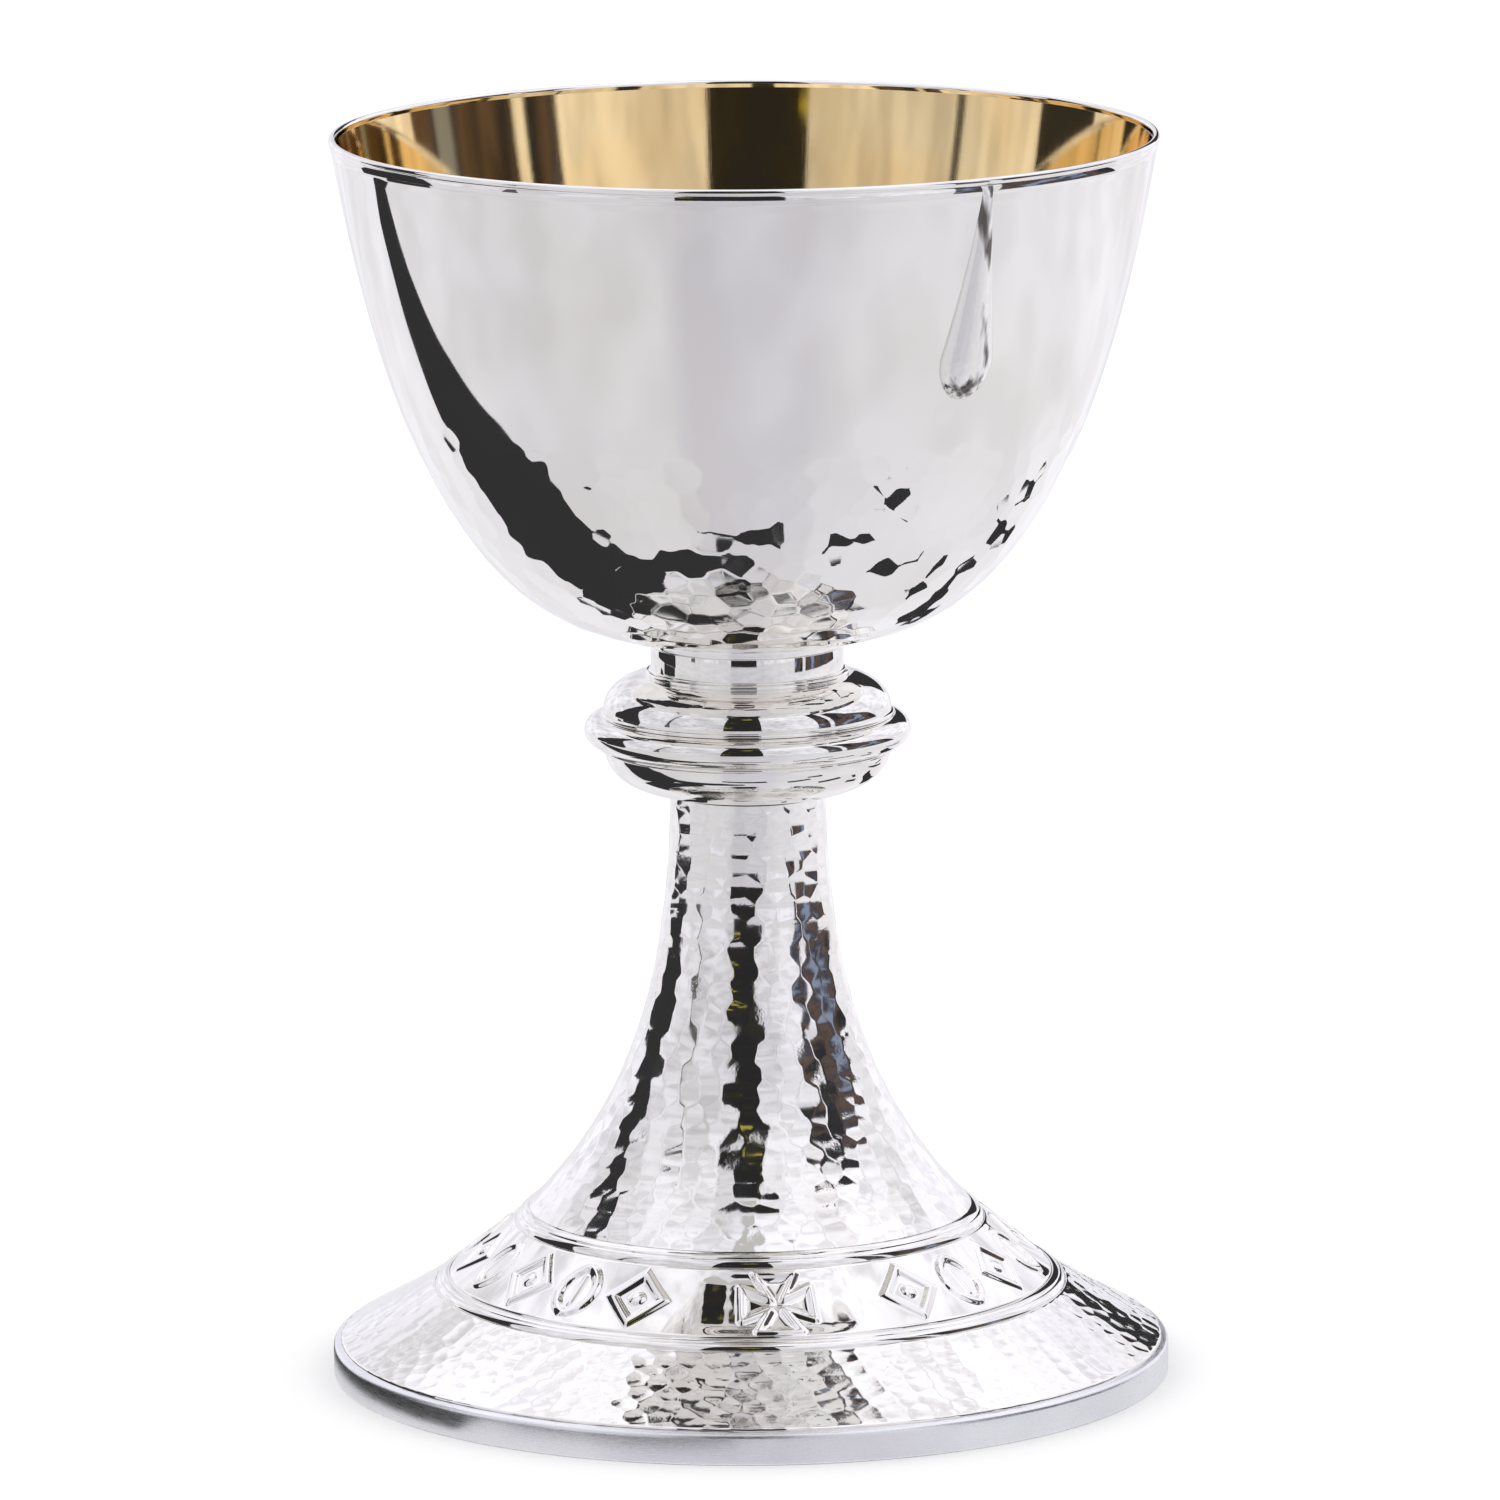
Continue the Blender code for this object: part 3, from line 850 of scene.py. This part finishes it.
def make_nut(metal):
    """A hexagon nut whose corners are chamfered top and bottom."""
    low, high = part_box("retaining_nut")
    columns = 144
    angle = column_angles(columns)
    half_flats, corner = min(high.x, high.y), max(high.x, high.y)
    first_corner = 0.0 if high.x > high.y else radians(30)
    hexagon = half_flats / np.cos((angle - first_corner) % radians(60) - radians(30))
    chamfer = 0.9 * MM
    profile = (
        (high.z, half_flats * 0.97),
        (high.z - 0.25 * chamfer, half_flats * 1.03),
        (high.z - chamfer, corner * 1.01),
        (low.z + chamfer, corner * 1.01),
        (low.z + 0.25 * chamfer, half_flats * 1.03),
        (low.z, half_flats * 0.97),
    )
    heights = np.array([z for z, _ in profile])[:, None]
    limits = np.array([limit for _, limit in profile])[:, None]
    faces = turned_rings(np.minimum(hexagon[None, :], limits), heights, columns)
    hole, countersunk, depth = 3.3 * MM, 3.7 * MM, 0.4 * MM
    bore = revolve([
        (countersunk, low.z), (hole, low.z + depth), (hole, high.z - depth), (countersunk, high.z),
    ], columns)
    nut = skin("retaining_nut_hexagon", np.concatenate([faces, bore]), closed=True, sharp=20)
    piece(nut, "retaining_nut", metal)


def make_rod(metal):
    """The tie rod, with its thread cut as a helix over its lower end."""
    low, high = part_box("tie_rod")
    columns = 48
    pitch, cut, threaded_length, chamfer = 1.0 * MM, 0.35 * MM, 15 * MM, 0.6 * MM
    threaded = spaced(low.z + threaded_length, low.z, pitch / 8)
    z = np.concatenate([[high.z, high.z - 0.5 * MM], threaded])[:, None]
    radius = np.full(z.shape, high.x)
    radius[0] -= 0.5 * MM
    phase = (z / pitch - column_angles(columns)[None, :] / FULL_TURN) % 1.0
    groove = cut * np.abs(2 * phase - 1) * (z < threaded[0])
    tip = np.clip((z - low.z) / chamfer, 0, 1) * chamfer
    r = np.minimum(radius - groove, high.x - chamfer + tip)
    rod = skin("tie_rod_threaded", turned_rings(r, z, columns), closed=False, sharp=60)
    piece(rod, "tie_rod", metal)


# The studio

FLOOR_CARD_Z = 0.6 * MM
SWEEP_Z = 0.3 * MM
OPENING_DISTANCE, OPENING_CENTRE = 1.0, 0.07


def studio_mesh(name, vertices, faces, material):
    mesh = bpy.data.meshes.new(name)
    mesh.from_pydata(vertices, [], faces)
    mesh.materials.append(material)
    obj = bpy.data.objects.new(name, mesh)
    bpy.context.scene.collection.objects.link(obj)
    return obj


def reflector(name, vertices, faces, material):
    """A card or cloth that only shows in the metal: it lights nothing and the camera doesn't see it."""
    card = studio_mesh(name, vertices, faces, material)
    card.visible_camera = False
    card.visible_diffuse = False
    card.visible_shadow = False


class Glow(Graph):
    """A glowing material whose colour changes from place to place on a card."""

    def __init__(self, name):
        super().__init__(name)
        self.material.cycles.emission_sampling = "NONE"
        self.tree.nodes.clear()
        self.emission = self.add("ShaderNodeEmission")
        out = self.add("ShaderNodeOutputMaterial")
        self.link(self.emission.outputs[0], out.inputs["Surface"])
        self.place = self.coordinates()

    def plain(self, colour):
        self.emission.inputs["Color"].default_value = (*colour, 1.0)
        return self.material

    def azimuth(self, stops):
        """Colours by azimuth in degrees: 0 is towards the camera and 90 to the right."""
        split = self.split(self.place)
        turn = self.math("ARCTAN2", split["X"], self.math("MULTIPLY", split["Y"], -1.0))
        part = self.add("ShaderNodeMapRange")
        part.inputs["From Min"].default_value = -pi
        part.inputs["From Max"].default_value = pi
        self.link(turn, part.inputs["Value"])
        return self.ramp(part.outputs["Result"], [((a + 180) / 360, colour) for a, colour in stops])

    def height(self, reach, stops):
        """Colours by height, as a part of reach."""
        return self.ramp(self.math("DIVIDE", self.split(self.place)["Z"], reach), stops)

    def clouds(self, scale, stops, detail=2.0, stretch=(1.0, 1.0, 1.0)):
        return self.ramp(self.noise(self.stretched(stretch), scale, detail), stops)

    def product(self, *colours):
        """The material that glows with all the colours multiplied together."""
        total = colours[0]
        for colour in colours[1:]:
            mix = self.add("ShaderNodeMix", data_type="RGBA", blend_type="MULTIPLY")
            mix.inputs[0].default_value = 1.0
            self.link(total, mix.inputs[6])
            self.link(colour, mix.inputs[7])
            total = mix.outputs[2]
        self.link(total, self.emission.inputs["Color"])
        return self.material


def grey(level, warm=0.0):
    """A grey that leans a little to blue, or towards red as warm grows."""
    return (level * (1 + warm), level, level * (1.022 - warm))


def sky_card(name, rows, material, distance=3.0, centre=0.10):
    """A curved card round the set. A row is an elevation, a left and a right azimuth, in degrees."""
    vertices, faces = [], []
    across = 12
    for elevation, left, right in rows:
        lift = radians(elevation)
        reach = distance * cos(lift)
        for i in range(across + 1):
            turn = radians(left + (right - left) * i / across)
            vertices.append((reach * sin(turn), -reach * cos(turn), centre + distance * sin(lift)))
    for row in range(len(rows) - 1):
        for i in range(across):
            a = row * (across + 1) + i
            faces.append((a, a + 1, a + across + 2, a + across + 1))
    reflector(name, vertices, faces, material)


def flat_card(name, corners, z, material):
    reflector(name, [(x, y, z) for x, y in corners], [tuple(range(len(corners)))], material)


def square(reach):
    return [(-reach, -reach), (reach, -reach), (reach, reach), (-reach, reach)]


def floor_ribbon(name, stops, material):
    """A narrow strip along the floor through (x, y, width in millimetres)."""
    path = np.array(stops)
    fine = np.linspace(0, len(path) - 1, 40)
    path = np.stack([np.interp(fine, np.arange(len(path)), path[:, k]) for k in range(3)], axis=1)
    along = np.gradient(path[:, :2], axis=0)
    along /= np.linalg.norm(along, axis=1)[:, None]
    side = np.stack([-along[:, 1], along[:, 0]], axis=1) * path[:, 2:] * MM / 2
    left, right = path[:, :2] + side, path[:, :2] - side
    vertices = [(x, y, FLOOR_CARD_Z) for x, y in np.concatenate([left, right]).tolist()]
    count = len(path)
    faces = [(i, i + 1, count + i + 1, count + i) for i in range(count - 1)]
    reflector(name, vertices, faces, material)


def cloth_glow():
    """White cloth, whiter overhead and to the sides, and a little uneven."""
    cloth = Glow("tent_cloth")
    return cloth.product(
        cloth.azimuth([
            (-180, grey(0.80)), (-160, grey(0.98)), (-92, grey(0.80)), (-40, grey(0.74)), (-22, grey(0.70)),
            (18, grey(0.74)), (45, grey(0.86)), (95, grey(0.98)), (160, grey(0.98)), (180, grey(0.80)),
        ]),
        cloth.clouds(0.60, [(0.36, grey(0.84, 0.01)), (0.50, grey(1.0)), (0.62, grey(1.08))]),
        cloth.clouds(1.9, [(0.38, grey(0.84, 0.005)), (0.50, grey(1.0)), (0.60, grey(1.05))]),
        cloth.height(6.0, [(0.0, grey(0.98)), (0.55, grey(0.98)), (0.80, grey(1.14)), (1.0, grey(1.18))]),
    )


def sweep_glow():
    """White paper, greyer towards the camera."""
    sweep = Glow("sweep_paper")
    return sweep.product(
        sweep.azimuth([
            (-180, grey(0.80)), (-158, grey(0.92)), (-135, grey(0.88)), (-116, grey(0.75)),
            (-60, grey(0.70, 0.01)), (-24, grey(0.67, 0.006)), (-17, (0.615, 0.605, 0.64)),
            (18, (0.62, 0.61, 0.645)), (34, grey(0.70)), (62, grey(0.74)), (104, grey(0.86)),
            (158, grey(0.94)), (180, grey(0.80)),
        ]),
        sweep.clouds(2.2, [(0.38, grey(0.94, 0.004)), (0.60, grey(1.05))]),
        sweep.clouds(8.0, [(0.40, grey(0.95, 0.004)), (0.58, grey(1.02))], detail=1.0),
    )


def make_tent():
    """White cloth all round and overhead, and the paper sweep, as they show in the metal."""
    columns, rows, reach = 48, 14, 6.0
    top, bottom = 84, -6
    vertices = [(0.0, 0.0, reach)]
    for row in range(rows):
        lift = radians(top + (bottom - top) * row / (rows - 1))
        for i in range(columns):
            turn = FULL_TURN * i / columns
            vertices.append((reach * cos(lift) * cos(turn), reach * cos(lift) * sin(turn), reach * sin(lift)))
    faces = [(0, 1 + i, 1 + (i + 1) % columns) for i in range(columns)]
    for row in range(rows - 1):
        for i in range(columns):
            a, b = 1 + row * columns + i, 1 + row * columns + (i + 1) % columns
            faces.append((a, a + columns, b + columns, b))
    reflector("tent", vertices, faces, cloth_glow())
    flat_card("sweep_glow", square(7.0), SWEEP_Z, sweep_glow())


def flecked_glow():
    """The dark slot round the camera, with a few yellowish gleams in it."""
    flecked = Glow("flecked_card")
    stops = [(0.50, (0.022, 0.022, 0.024)), (0.655, (0.03, 0.028, 0.018)), (0.69, (0.38, 0.34, 0.07))]
    return flecked.product(flecked.clouds(1.7, stops, detail=3.0, stretch=(1, 1, 2.2)))


def room_glow():
    """A dim room seen past the tent: brown and slate patches."""
    room = Glow("brown_card")
    stops = [
        (0.42, (0.03, 0.03, 0.035)), (0.53, (0.12, 0.085, 0.07)),
        (0.60, (0.05, 0.05, 0.07)), (0.67, (0.24, 0.28, 0.38)),
    ]
    return room.product(room.clouds(3.4, stops, detail=3.0))


def make_sky_cards(dark):
    """Openings and seams in the tent, as (elevation, left azimuth, right azimuth)."""
    room = room_glow()
    sky_card("camera_slot", [
        (-8, -19, 11), (5, -19, 11), (15, -19, 11), (25, -19, 11), (35, -19, 11),
        (45, -19, 11), (54, -19, 11), (57, -19, 22), (61, -16, 24), (63, -12, 20),
    ], flecked_glow())
    sky_card("slot_fold", [(66, -14, 6), (73, -22, 14), (79, -40, 30), (84, -60, 60)],
             Glow("fold").plain(grey(0.52, 0.02)))
    sky_card("left_opening", [
        (-4, -130, -94), (3, -129, -94), (12, -121, -97), (26, -117, -104), (42, -116, -108),
    ], dark, OPENING_DISTANCE, OPENING_CENTRE)
    sky_card("left_gap", [(-4, -70, -64), (8, -68, -65), (26, -67.5, -65.5), (44, -67, -65.5)],
             Glow("gap").plain(grey(0.10)))
    sky_card("right_opening", [(-4, 73, 124), (14, 73, 112), (28, 73, 92), (42, 72, 80)],
             room, OPENING_DISTANCE, OPENING_CENTRE)
    sky_card("right_post", [(-4, 58, 69), (22, 58, 69), (48, 58, 67)],
             room, OPENING_DISTANCE, OPENING_CENTRE)
    sky_card("far_right_opening", [(5, 159, 176), (13, 159, 177), (22, 163, 175)], dark)


def make_floor_cards(dark):
    """Dark gaps on the floor, and painted shade on the floor round the foot, as they show in the metal."""
    turn = np.radians(np.linspace(-125, -46, 14))
    foot_edge = 0.070
    reaches = np.linspace(0.088, 0.112, len(turn))
    shade = [(foot_edge * sin(a), -foot_edge * cos(a)) for a in turn]
    shade += [(reach * sin(a), -reach * cos(a)) for a, reach in zip(turn[::-1], reaches)]
    flat_card("left_floor_shade", shade, FLOOR_CARD_Z, dark)
    flat_card("left_floor_gap", [
        (-0.64, 0.435), (-0.64, 0.375), (-0.48, 0.22), (-0.36, 0.085), (-0.27, -0.005), (-0.20, -0.05),
        (-0.10, -0.052), (-0.09, 0.0), (-0.11, 0.05), (-0.20, 0.10), (-0.30, 0.18), (-0.40, 0.27),
        (-0.53, 0.385),
    ], FLOOR_CARD_Z, dark)
    end = [(-0.60, 0.30), (-0.66, 0.065), (-0.99, 0.095), (-0.90, 0.44)]
    flat_card("left_floor_end", end, FLOOR_CARD_Z, dark)
    # These dark ribbons are partly dark gaps in the floor and partly painted contact shadow round the foot,
    # as the metal sees the floor.
    for number, stops in enumerate((
        ((-0.105, -0.040, 24), (-0.066, -0.064, 20), (-0.038, -0.078, 18), (-0.004, -0.083, 8)),
        ((-0.044, -0.107, 10), (-0.005, -0.106, 12), (0.032, -0.105, 14)),
        ((0.062, -0.084, 13), (0.105, -0.070, 12)),
        ((0.090, -0.030, 12), (0.128, 0.002, 16)),
        ((0.116, -0.092, 12), (0.146, -0.068, 20)),
        ((0.098, 0.040, 12), (0.102, 0.070, 14)),
        ((0.122, 0.052, 10), (0.142, 0.040, 14)),
        ((0.075, 0.21, 14), (0.083, 0.15, 34), (0.12, 0.108, 34), (0.150, 0.12, 14)),
        ((0.165, 0.22, 14), (0.18, 0.15, 24), (0.195, 0.11, 14)),
        ((0.208, 0.17, 12), (0.220, 0.245, 16)),
    )):
        floor_ribbon(f"floor_gap_and_shade_{number}", stops, dark)


def make_studio():
    """An even white world lights the chalice and its paper floor, and the glowing cards show in the metal."""
    world = bpy.data.worlds.new("studio_light")
    bpy.context.scene.world = world
    world.use_nodes = True
    background = world.node_tree.nodes["Background"]
    background.inputs["Color"].default_value = (1.0, 1.0, 1.0, 1.0)
    background.inputs["Strength"].default_value = 1.22
    paper = bpy.data.materials.new("paper")
    paper.use_nodes = True
    shader = paper.node_tree.nodes["Principled BSDF"]
    shader.inputs["Base Color"].default_value = (0.93, 0.93, 0.935, 1.0)
    shader.inputs["Roughness"].default_value = 0.9
    shader.inputs["Specular IOR Level"].default_value = 0.0
    studio_mesh("floor", [(x, y, 0) for x, y in square(12.0)], [(0, 1, 2, 3)], paper)
    make_tent()
    dark = Glow("dark_card").plain((0.032, 0.032, 0.034))
    make_sky_cards(dark)
    make_floor_cards(dark)


def make_camera():
    """A long lens, nearly two metres away and looking a little down, with the slightest roll."""
    data = bpy.data.cameras.new("camera")
    camera = bpy.data.objects.new("camera", data)
    bpy.context.scene.collection.objects.link(camera)
    bpy.context.scene.camera = camera
    data.sensor_width = 36.0
    data.lens = 288.6
    data.clip_start, data.clip_end = 0.05, 60.0
    place = (0.37 * MM, -1.8862, 0.4531)
    pitch, roll = radians(10.579), radians(0.334)
    forward = Vector((0.0, cos(pitch), -sin(pitch)))
    right = Vector((1.0, 0.0, 0.0))
    up = right.cross(forward)
    across = cos(roll) * right - sin(roll) * up
    above = sin(roll) * right + cos(roll) * up
    turn = Matrix((across, above, -forward)).transposed().to_4x4()
    camera.matrix_world = Matrix.Translation(place) @ turn
    bpy.context.scene.view_settings.view_transform = "Standard"


def dress_hidden_nodes(silver):
    """CAD solids that stay as they are, inside the collar and the knop."""
    for name in ("cup_boss", "knop_spacer"):
        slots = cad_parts[name].data.materials
        slots.clear()
        slots.append(silver)


def main():
    rng = np.random.default_rng(SEED)
    silver, planished, metal = polished_silver(), hammered_silver(), steel()
    make_cup(silver, rng)
    make_gilding(gilding())
    make_drop(dressed_silver())
    make_collar(silver)
    make_knop(silver)
    foot = Curve(FOOT_CURVE)
    stem_end, band_start, band_end, skirt_start = (foot.at_radius(r) for r in FOOT_SEAM_RADII)
    make_stem(foot, stem_end, planished, rng)
    make_wire(foot, stem_end, band_start, "border_wire_upper", silver)
    make_band(foot, band_start, band_end, silver)
    make_wire(foot, band_end, skirt_start, "border_wire_lower", silver)
    make_skirt(foot, skirt_start, planished, rng)
    make_rim_band(foot, satin_silver())
    make_plate("stem_top_plate", metal)
    make_plate("washer", metal)
    make_nut(metal)
    make_rod(metal)
    dress_hidden_nodes(silver)
    make_studio()
    make_camera()


main()
